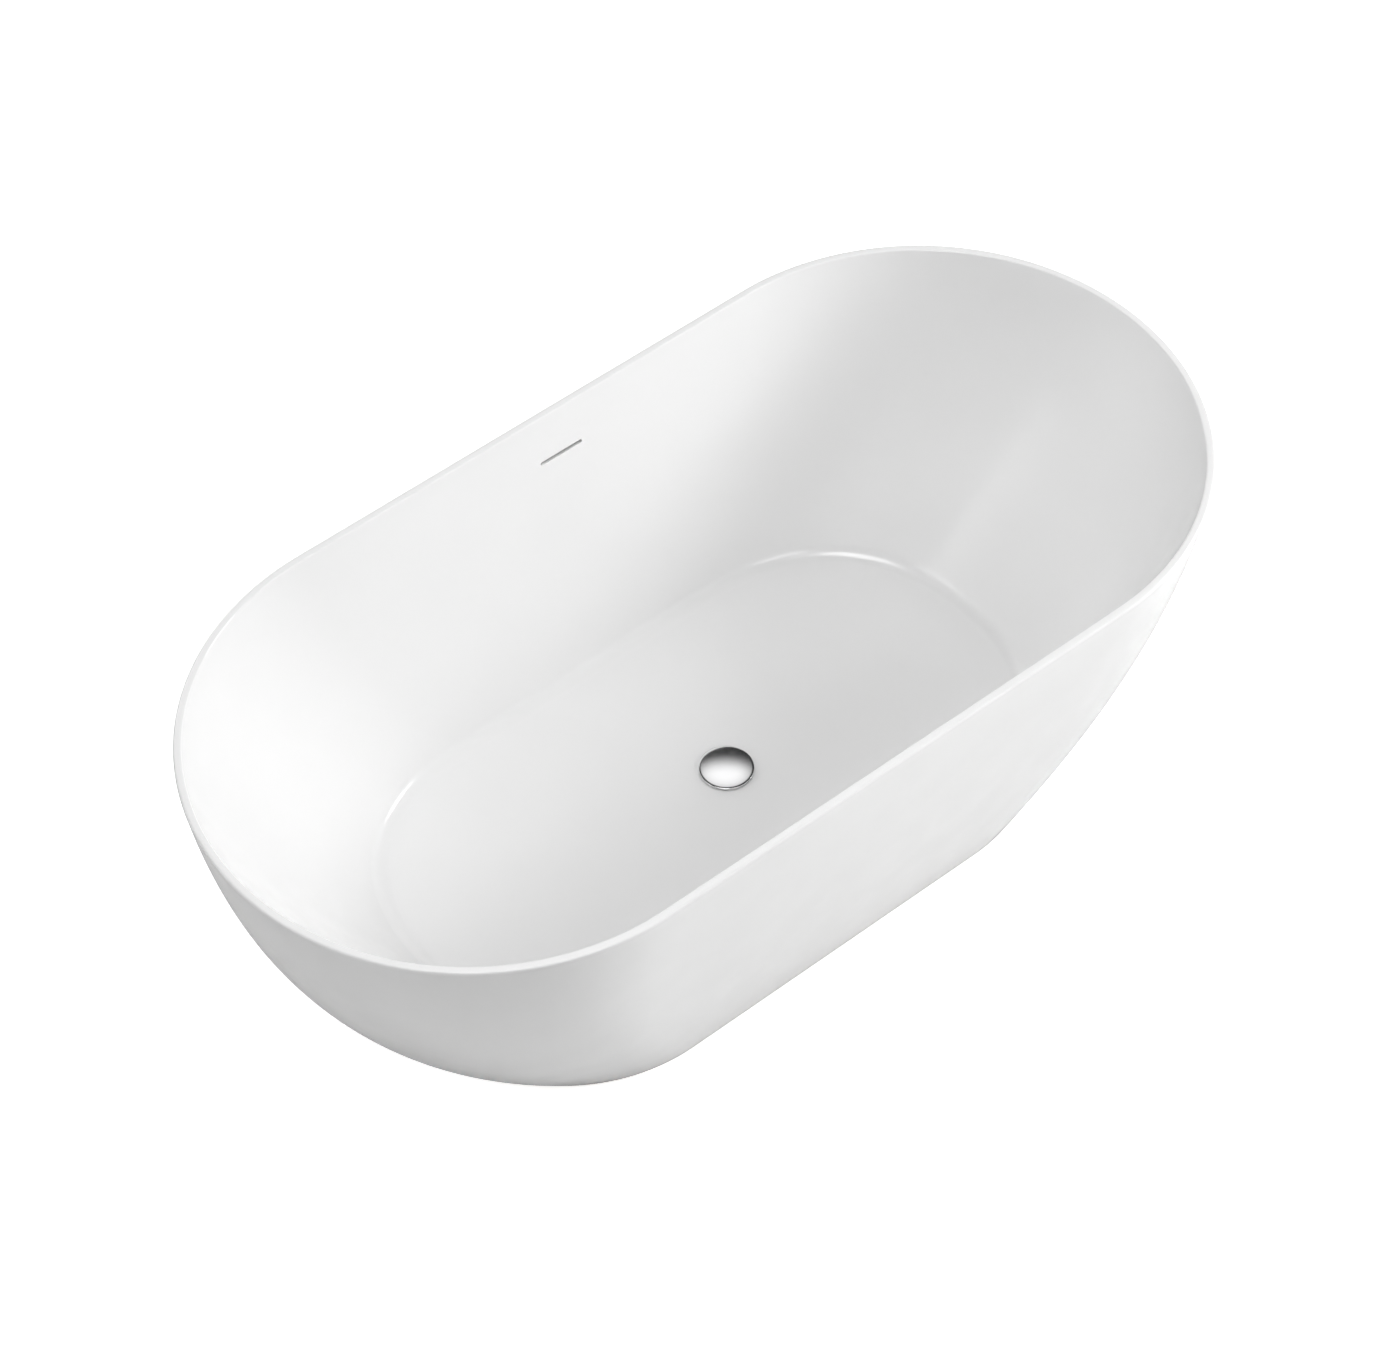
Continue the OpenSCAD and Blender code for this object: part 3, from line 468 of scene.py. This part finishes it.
def build_hose():
    """Corrugated hose with a plain cuff under each clip."""
    length = HOSE_START[1] - HOSE_END[1]
    a = full_turn(40)

    def hose_ring(t, r):
        ease = t * t * (3 - 2 * t)
        x, z = lerp(HOSE_START[0], HOSE_END[0], ease), lerp(HOSE_START[2], HOSE_END[2], ease)
        y = np.full_like(a, lerp(HOSE_START[1], HOSE_END[1], t))
        return np.stack([x + r * np.cos(a), y, z + r * np.sin(a)], 1)

    rings = []
    for k in range(HOSE_STEPS + 1):
        t = k / HOSE_STEPS
        reach = min(t, 1 - t) * length
        fade = min(1, max(0, (reach - HOSE_CUFF) / HOSE_PITCH))
        fold = HOSE_FOLD * fade * (0.5 - 0.5 * math.cos(2 * math.pi * (reach - HOSE_CUFF) / HOSE_PITCH))
        rings.append(hose_ring(t, HOSE_R - fold))
    rings += [hose_ring(1 - k / 20, HOSE_BORE) for k in range(21)]
    return band_object("overflow_hose_corrugated", rings)


SPRING_LOW, SPRING_HIGH, SPRING_R, SPRING_WIRE, SPRING_COILS = 93.55 * mm, 100.45 * mm, 5 * mm, 0.5 * mm, 5


def build_spring():
    """Round wire in a helix."""
    steps = SPRING_COILS * 36
    b = full_turn(12)
    rings = []
    for k in range(steps + 1):
        a = 2 * math.pi * SPRING_COILS * k / steps
        r = SPRING_R + SPRING_WIRE * np.cos(b)
        z = lerp(SPRING_LOW, SPRING_HIGH, k / steps) + SPRING_WIRE * np.sin(b)
        rings.append(np.stack([DRAIN_X + r * math.cos(a), r * math.sin(a), z], 1))
    return band_object("plunger_spring", rings, closed=False, caps=True)


WINDOW_HALF, WINDOW_TOP = 48 * mm, 16 * mm


def build_basin_backing():
    """Laminate behind the basin, with a window for the overflow duct."""
    steps = {"wall_steps": 28, "fillet_steps": 8, "floor_steps": 6, "end_steps": BACKING_END_STEPS}
    near = ACRYLIC + BOND
    inside = basin_rings(near, BACKING_DROP, **steps)
    outside = basin_rings(near + BASIN_BACKING, BACKING_DROP, **steps)
    made = band_object("basin_fibreglass", inside + outside[::-1])
    window_low = (-WINDOW_HALF, ACRYLIC - OVERCUT, -BASIN_DEPTH)
    window_high = (WINDOW_HALF, ACRYLIC + 2 * BASIN_BACKING, WINDOW_TOP)
    return cut_out(made, box_cutter(window_low, window_high, wall_frame()))


def build_skirt_backing():
    """Laminate behind the skirt."""
    steps = 32
    near = ACRYLIC + BOND
    low, high = SKIRT_GAP + BACKING_LIFT, TUB_HEIGHT - BACKING_DROP
    outside = skirt_rings(near, low, high, steps, BACKING_END_STEPS)
    inside = skirt_rings(near + SKIRT_BACKING, low, high, steps, BACKING_END_STEPS)
    return band_object("skirt_fibreglass", outside + inside[::-1])


BEAD_HEIGHT, BEAD_SLUMP = 18 * mm, 1.5 * mm


def build_bead():
    """Adhesive bead between the two skins, a little slumped at its lower face."""
    high = TUB_HEIGHT - RIM_LIP - BOND
    low = high - BEAD_HEIGHT
    near = ACRYLIC + BOND
    steps = 6

    def share(z):
        return (TUB_HEIGHT - z) / BASIN_DEPTH

    inner = [basin_station(share(lerp(low, high, k / steps)), near * SKIN_OUT) for k in range(steps + 1)]
    outer = [skirt_station(lerp(high, low, k / steps), near) for k in range(steps + 1)]
    slump = []
    for k in range(1, steps):
        t = k / steps
        s = lerp(outer[-1], inner[0], t)
        s[3] += BEAD_SLUMP * math.sin(math.pi * t)
        slump.append(s)
    return band_object("rim_bead", [ring(s, BACKING_END_STEPS) for s in inner + outer + slump])


# ---------------------------------------------------------------- materials

# The part of a noise's range that carries nearly all of it
NOISE_LOW, NOISE_HIGH = 0.3, 0.7


class Nodes:
    """A material's node tree, built one node at a time."""

    def __init__(self, name):
        self.material = bpy.data.materials.new(name)
        self.material.use_nodes = True
        self.tree = self.material.node_tree
        self.shader = self.tree.nodes["Principled BSDF"]
        self.place = self.add("ShaderNodeTexCoord").outputs["Object"]

    def add(self, kind, **settings):
        made = self.tree.nodes.new(kind)
        for key, value in settings.items():
            setattr(made, key, value)
        return made

    def link(self, a, b):
        self.tree.links.new(a, b)

    def mapping(self, scale, turn=(0, 0, 0)):
        made = self.add("ShaderNodeMapping")
        made.inputs["Scale"].default_value = scale
        made.inputs["Rotation"].default_value = [math.radians(t) for t in turn]
        self.link(self.place, made.inputs["Vector"])
        return made.outputs["Vector"]

    def noise(self, scale, detail=3, roughness=0.5, distortion=0, vector=None):
        made = self.add("ShaderNodeTexNoise")
        made.inputs["Scale"].default_value = scale
        made.inputs["Detail"].default_value = detail
        made.inputs["Roughness"].default_value = roughness
        made.inputs["Distortion"].default_value = distortion
        self.link(vector or self.place, made.inputs["Vector"])
        return made.outputs["Fac"]

    def wave(self, scale, direction):
        made = self.add("ShaderNodeTexWave", wave_type="BANDS", bands_direction=direction)
        made.inputs["Scale"].default_value = scale
        made.inputs["Distortion"].default_value = 0
        self.link(self.place, made.inputs["Vector"])
        return made.outputs["Fac"]

    def ramp(self, fac, stops):
        """Colour by a factor, from a list of positions and colours."""
        made = self.add("ShaderNodeValToRGB")
        ramp = made.color_ramp
        while len(ramp.elements) < len(stops):
            ramp.elements.new(0.5)
        for element, (position, colour) in zip(ramp.elements, stops):
            element.position = position
            element.color = (*colour, 1)
        self.link(fac, made.inputs["Fac"])
        return made.outputs["Color"]

    def span(self, fac, low, high):
        """Spreads a noise between two values."""
        made = self.add("ShaderNodeMapRange")
        reach = {"From Min": NOISE_LOW, "From Max": NOISE_HIGH, "To Min": low, "To Max": high}
        for key, value in reach.items():
            made.inputs[key].default_value = value
        self.link(fac, made.inputs["Value"])
        return made.outputs["Result"]

    def maths(self, how, a, b):
        made = self.add("ShaderNodeMath", operation=how)
        for socket, value in zip(made.inputs, (a, b)):
            if isinstance(value, (int, float)):
                socket.default_value = value
            else:
                self.link(value, socket)
        return made.outputs["Value"]

    def bump(self, height, strength, distance):
        made = self.add("ShaderNodeBump")
        made.inputs["Strength"].default_value = strength
        made.inputs["Distance"].default_value = distance
        self.link(height, made.inputs["Height"])
        self.link(made.outputs["Normal"], self.shader.inputs["Normal"])

    def set(self, **values):
        """Sets the shader's inputs, from numbers, colours or other nodes' outputs."""
        for key, value in values.items():
            socket = self.shader.inputs[key.replace("_", " ").title().replace("Ior", "IOR")]
            if isinstance(value, (int, float)):
                socket.default_value = value
            elif isinstance(value, tuple):
                socket.default_value = (*value, 1)
            else:
                self.link(value, socket)


def tint(colour, share):
    return tuple(min(1, c * share) for c in colour)


def acrylic():
    """Polished white sheet, with a faint unevenness from forming."""
    n = Nodes("acrylic")
    cloud = n.noise(3.5, 2)
    base = (0.836, 0.836, 0.836)
    colour = n.ramp(cloud, [(NOISE_LOW, tint(base, 0.985)), (NOISE_HIGH, tint(base, 1.012))])
    gloss = n.span(n.noise(14, 3), 0.17, 0.24)
    n.set(base_color=colour, roughness=gloss, coat_weight=0.25, coat_roughness=0.12, ior=1.49)
    n.bump(n.noise(26, 2), 0.06, 0.0006)
    return n.material


def laminate():
    """Chopped glass strands in resin, laid at three angles."""
    n = Nodes("laminate")
    strands = None
    for turn in (12, 68, 131):
        along = n.mapping((14, 150, 60), (turn, turn * 0.7, turn))
        strand = n.noise(6, 4, 0.6, 0.8, along)
        strands = strand if strands is None else n.maths("MAXIMUM", strands, strand)
    cloud = n.noise(9, 3)
    mixed = n.maths("ADD", n.maths("MULTIPLY", strands, 0.75), n.maths("MULTIPLY", cloud, 0.3))
    colour = n.ramp(mixed, [(0.35, (0.46, 0.38, 0.22)), (0.6, (0.68, 0.6, 0.42)), (0.8, (0.84, 0.8, 0.66))])
    n.set(base_color=colour, roughness=n.span(strands, 0.35, 0.7), specular_ior_level=0.45)
    n.bump(mixed, 0.7, 0.0014)
    return n.material


def adhesive():
    n = Nodes("adhesive")
    lumps = n.noise(60, 4)
    colour = n.ramp(lumps, [(NOISE_LOW, (0.66, 0.66, 0.6)), (NOISE_HIGH, (0.78, 0.78, 0.73))])
    n.set(base_color=colour, roughness=n.span(lumps, 0.45, 0.65))
    n.bump(lumps, 0.5, 0.001)
    return n.material


def plywood():
    n = Nodes("plywood")
    grain = n.noise(5, 6, 0.62, 1.2, n.mapping((2.4, 42, 42)))
    plies = n.wave(105, "Z")
    level = n.maths("ADD", n.maths("MULTIPLY", grain, 0.75), n.maths("MULTIPLY", plies, 0.25))
    dark, middle, light = (0.27, 0.16, 0.075), (0.5, 0.34, 0.18), (0.63, 0.47, 0.28)
    colour = n.ramp(level, [(NOISE_LOW, dark), (0.55, middle), (0.8, light)])
    n.set(base_color=colour, roughness=n.span(grain, 0.5, 0.75))
    n.bump(grain, 0.35, 0.0006)
    return n.material


def powder_coat():
    n = Nodes("powder_coat")
    peel = n.noise(700, 2)
    wear = n.noise(22, 5, 0.65)
    dark, middle, light = (0.022, 0.023, 0.025), (0.036, 0.037, 0.04), (0.07, 0.071, 0.075)
    colour = n.ramp(wear, [(0.35, dark), (0.62, middle), (0.8, light)])
    n.set(base_color=colour, roughness=n.span(wear, 0.38, 0.6), specular_ior_level=0.5)
    n.bump(peel, 0.35, 0.0003)
    return n.material


def plated(name, dark, light, low, high, scale):
    n = Nodes(name)
    cloud = n.noise(scale, 4, 0.6)
    colour = n.ramp(cloud, [(NOISE_LOW, dark), (NOISE_HIGH, light)])
    n.set(base_color=colour, metallic=1.0, roughness=n.span(cloud, low, high))
    n.bump(n.noise(scale * 9, 2), 0.12, 0.0001)
    return n.material


def chrome():
    n = Nodes("chrome")
    smudge = n.noise(38, 4, 0.6)
    colour = n.ramp(smudge, [(NOISE_LOW, (0.75, 0.75, 0.755)), (NOISE_HIGH, (0.81, 0.81, 0.815))])
    n.set(base_color=colour, metallic=1.0, roughness=n.span(smudge, 0.05, 0.11))
    return n.material


def brushed(name, colour, scale, low, high):
    n = Nodes(name)
    lines = n.noise(4, 3, 0.7, 0, n.mapping(scale))
    shade = n.ramp(lines, [(NOISE_LOW, tint(colour, 0.8)), (NOISE_HIGH, tint(colour, 1.08))])
    n.set(base_color=shade, metallic=1.0, roughness=n.span(lines, low, high))
    n.bump(lines, 0.1, 0.0001)
    return n.material


def moulded(name, colour, low, high, scale, depth):
    n = Nodes(name)
    grain = n.noise(scale, 3)
    cloud = n.noise(30, 3)
    shade = n.ramp(cloud, [(NOISE_LOW, tint(colour, 0.9)), (NOISE_HIGH, tint(colour, 1.08))])
    n.set(base_color=shade, roughness=n.span(cloud, low, high))
    n.bump(grain, 0.3, depth)
    return n.material


def make_materials():
    return {
        "acrylic": acrylic(),
        "laminate": laminate(),
        "adhesive": adhesive(),
        "board": plywood(),
        "frame_steel": powder_coat(),
        "plug_plastic": moulded("plug_plastic", (0.02, 0.02, 0.021), 0.45, 0.6, 900, 0.0002),
        "zinc": plated("zinc", (0.42, 0.44, 0.47), (0.62, 0.63, 0.62), 0.22, 0.42, 90),
        "chrome": chrome(),
        "seal_rubber": moulded("seal_rubber", (0.02, 0.02, 0.02), 0.6, 0.8, 500, 0.0002),
        "pad_rubber": moulded("pad_rubber", (0.028, 0.028, 0.028), 0.65, 0.85, 400, 0.0004),
        "pipe_plastic": moulded("pipe_plastic", (0.76, 0.76, 0.75), 0.3, 0.45, 600, 0.0001),
        "hose_plastic": moulded("hose_plastic", (0.28, 0.285, 0.29), 0.35, 0.5, 500, 0.0001),
        "brass": plated("brass", (0.52, 0.36, 0.13), (0.68, 0.5, 0.22), 0.18, 0.34, 120),
        "spring_steel": brushed("spring_steel", (0.5, 0.5, 0.52), (900, 900, 900), 0.25, 0.4),
        "clip_steel": brushed("clip_steel", (0.56, 0.57, 0.58), (20, 900, 900), 0.2, 0.38),
        "liner_plastic": moulded("liner_plastic", (0.86, 0.86, 0.86), 0.3, 0.4, 600, 0.0001),
    }


def paint(made, material):
    made.data.materials.clear()
    made.data.materials.append(material)


# ---------------------------------------------------------------- camera and light

SENSOR = 36
VIEW_AZIMUTH, VIEW_ELEVATION = math.radians(-40.0), math.radians(49.7)
# The focal length as a share of the picture's width
FOCAL_SHARE = 3.18929
VIEW_DISTANCE = 6.654
AIM = Vector((0, 0, 0.3))
# Where the aim point falls, as a share of the picture's width, right of and above its middle
AIM_RIGHT, AIM_UP = 0.005714, -0.024357


def make_camera():
    a, e = VIEW_AZIMUTH, VIEW_ELEVATION
    back = Vector((math.sin(a) * math.cos(e), -math.cos(a) * math.cos(e), math.sin(e)))
    right = Vector((math.cos(a), math.sin(a), 0))
    up = back.cross(right)
    data = bpy.data.cameras.new("camera")
    data.sensor_width = SENSOR
    data.lens = SENSOR * FOCAL_SHARE
    data.clip_end = 100
    place = AIM + back * VIEW_DISTANCE
    place -= (right * AIM_RIGHT + up * AIM_UP) * VIEW_DISTANCE / FOCAL_SHARE
    camera = bpy.data.objects.new("camera", data)
    camera.matrix_world = Matrix((right, up, back)).transposed().to_4x4()
    camera.location = place
    bpy.context.scene.collection.objects.link(camera)
    bpy.context.scene.camera = camera


# Area lights: name, azimuth and elevation of the place it shines from, size and power
LIGHTS = (
    ("left_top", -68, 75, 3.0, 126),
    ("right_key", 60, 25, 2.0, 188),
    ("front_high", 0, 42, 3.0, 73),
    ("front_top", -22, 75, 3.0, 29),
    ("back_fill", 175, 35, 2.2, 61),
    ("left_fill", -112, 30, 3.0, 55),
    ("right_low", 60, 12, 2.0, 82),
)
LIGHT_DISTANCE = 6.0


def towards(azimuth, elevation):
    """Unit vector to a place in the studio. Azimuth 0 is on the -Y side and 90 on the +X side."""
    a, e = math.radians(azimuth), math.radians(elevation)
    return Vector((math.sin(a) * math.cos(e), -math.cos(a) * math.cos(e), math.sin(e)))


def add_light(name, shape, size, power, place, way):
    """Area light at place, which shines against way."""
    data = bpy.data.lights.new(name, "AREA")
    data.shape = shape
    data.size, data.size_y = size
    data.energy = power
    light = bpy.data.objects.new(name, data)
    light.location = place
    light.rotation_mode = "QUATERNION"
    light.rotation_quaternion = way.to_track_quat("Z", "Y")
    bpy.context.scene.collection.objects.link(light)


# A weak light on the floor under the tub, for looking at its underside
UNDER_SIZE, UNDER_Z, UNDER_POWER = (0.9, 0.3), 1 * mm, 1.2


def make_lights():
    for name, azimuth, elevation, size, power in LIGHTS:
        way = towards(azimuth, elevation)
        add_light(name, "DISK", (size, size), power, AIM + way * LIGHT_DISTANCE, way)
    add_light("under", "RECTANGLE", UNDER_SIZE, UNDER_POWER, Vector((0, 0, UNDER_Z)), Vector((0, 0, -1)))


# The surroundings are dim, apart from one soft bright patch overhead that the chrome mirrors.
# It fades out round its middle between two angles, and downwards between two elevations.
SURROUND = 0.05
PATCH_AZIMUTH, PATCH_ELEVATION, PATCH_EDGE, PATCH_CORE, PATCH_BRIGHTNESS = 140, 53.2, 9.2, 1, 1.3
PATCH_DARK_BELOW, PATCH_FULL_ABOVE = 44.3, 54


def make_world():
    world = bpy.data.worlds.new("studio")
    world.use_nodes = True
    tree = world.node_tree
    place = tree.nodes.new("ShaderNodeTexCoord").outputs["Generated"]

    def fade_in(way, start, stop):
        """Rises from 0 to 1 as the direction's share along the given way goes from start to stop."""
        share = tree.nodes.new("ShaderNodeVectorMath")
        share.operation = "DOT_PRODUCT"
        share.inputs[1].default_value = way
        tree.links.new(place, share.inputs[0])
        made = tree.nodes.new("ShaderNodeMapRange")
        made.interpolation_type = "SMOOTHSTEP"
        made.inputs["From Min"].default_value = start
        made.inputs["From Max"].default_value = stop
        tree.links.new(share.outputs["Value"], made.inputs["Value"])
        return made.outputs["Result"]

    def maths(how, *values):
        made = tree.nodes.new("ShaderNodeMath")
        made.operation = how
        for socket, value in zip(made.inputs, values):
            if isinstance(value, float):
                socket.default_value = value
            else:
                tree.links.new(value, socket)
        return made.outputs["Value"]

    edge, core = math.cos(math.radians(PATCH_EDGE)), math.cos(math.radians(PATCH_CORE))
    dark, full = math.sin(math.radians(PATCH_DARK_BELOW)), math.sin(math.radians(PATCH_FULL_ABOVE))
    middle = fade_in(towards(PATCH_AZIMUTH, PATCH_ELEVATION), edge, core)
    upper = fade_in((0, 0, 1), dark, full)
    level = maths("MULTIPLY_ADD", maths("MULTIPLY", middle, upper), PATCH_BRIGHTNESS - SURROUND, SURROUND)
    background = tree.nodes["Background"]
    background.inputs["Color"].default_value = (1, 1, 1, 1)
    tree.links.new(level, background.inputs["Strength"])
    bpy.context.scene.world = world
    bpy.context.scene.view_settings.view_transform = "Standard"


# Glow of the floor and backdrop, which only the camera sees
FLOOR_GLOW = 0.8
# Radii of the rings on the flat floor, radius and steps of the curve that follows, and height of the wall
STAGE_FLAT, STAGE_CURVE, STAGE_STEPS, STAGE_WALL = (20 * mm, 2, 6, 10), 4, 16, 6


def studio_white():
    """Overexposed pale floor and backdrop. A ray from below passes through, to show the underside."""
    n = Nodes("studio_white")
    cloud = n.noise(0.6, 2)
    colour = n.ramp(cloud, [(NOISE_LOW, (0.78, 0.78, 0.78)), (NOISE_HIGH, (0.80, 0.80, 0.80))])
    n.set(base_color=colour, roughness=0.9)
    n.set(specular_ior_level=0.1, emission_color=(1.0, 1.0, 1.0))
    seen = n.add("ShaderNodeLightPath").outputs["Is Camera Ray"]
    n.link(n.maths("MULTIPLY", seen, FLOOR_GLOW), n.shader.inputs["Emission Strength"])
    mix = n.add("ShaderNodeMixShader")
    n.link(n.add("ShaderNodeNewGeometry").outputs["Backfacing"], mix.inputs["Fac"])
    n.link(n.shader.outputs["BSDF"], mix.inputs[1])
    n.link(n.add("ShaderNodeBsdfTransparent").outputs["BSDF"], mix.inputs[2])
    n.link(mix.outputs["Shader"], n.tree.nodes["Material Output"].inputs["Surface"])
    return n.material


def make_stage():
    """Floor that curves up into a round backdrop."""
    profile = [(r, 0) for r in STAGE_FLAT]
    flat = STAGE_FLAT[-1]
    for k in range(1, STAGE_STEPS + 1):
        a = math.pi / 2 * k / STAGE_STEPS
        profile.append((flat + STAGE_CURVE * math.sin(a), STAGE_CURVE * (1 - math.cos(a))))
    profile.append((flat + STAGE_CURVE, STAGE_CURVE + STAGE_WALL))
    turns = full_turn(96)
    rings = [circle(0, 0, r, z, turns) for r, z in profile]
    size = len(turns)
    faces = [tuple(range(size))] + band_faces(len(rings), size, False)
    stage = mesh_object("studio_floor", np.vstack(rings), faces)
    stage.data.shade_smooth()
    paint(stage, studio_white())


# ---------------------------------------------------------------- the object

make_camera()
make_world()
make_lights()
make_stage()
materials = make_materials()
for part in frame["record"]["subparts"]:
    paint(nodes[part["node"]], materials[part["material_slot"]])


def stand_for(made, body, slot, *replaced):
    """Paints a piece, puts it on its body and lets it stand for its CAD node."""
    paint(made, materials[slot])
    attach(made, body)
    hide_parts(*replaced)
    return made


stand_for(build_basin(), "tub", "acrylic", "basin_shell")
stand_for(build_skirt(), "tub", "acrylic", "skirt_shell")
stand_for(build_basin_backing(), "tub", "laminate", "basin_backing")
stand_for(build_skirt_backing(), "tub", "laminate", "skirt_backing")
stand_for(build_bead(), "tub", "adhesive", "rim_adhesive")
stand_for(build_cap(), "stopper", "chrome", "stopper_cap")
stand_for(build_hose(), "tub", "hose_plastic", "overflow_hose")
for side, node in ((1, "rail_left"), (-1, "rail_right")):
    rail = build_tube(node + "_tube", (0, side * RAIL_Y, RAIL_Z + TUBE / 2), RAIL_HALF, False)
    stand_for(rail, "tub", "frame_steel", node)
for side, node in ((1, "cross_tube_head"), (-1, "cross_tube_tail")):
    cross = build_tube(node + "_tube", (side * CROSS_X, 0, CROSS_Z + TUBE / 2), CROSS_HALF, True)
    stand_for(cross, "tub", "frame_steel", node)
for number, (x, y) in enumerate(FEET, 1):
    stand_for(build_pad(number, x, y), "foot_pad_%d_body" % number, "pad_rubber", "foot_pad_%d" % number)
    stand_for(build_rod(number, x, y), "foot_rod_%d_body" % number, "zinc", "foot_rod_%d" % number)
    locknut = build_nut("locknut_%d" % number, x, y, CROSS_Z - LOCKNUT_H, LOCKNUT_H)
    stand_for(locknut, "tub", "zinc", "foot_locknut_%d" % number)
    weld_nut = build_nut("weld_nut_%d" % number, x, y, RAIL_Z, WELD_NUT_H)
    stand_for(weld_nut, "tub", "zinc", "foot_weld_nut_%d" % number)

spring = build_spring()
paint(spring, materials["spring_steel"])
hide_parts("cartridge_spring")
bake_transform(spring)
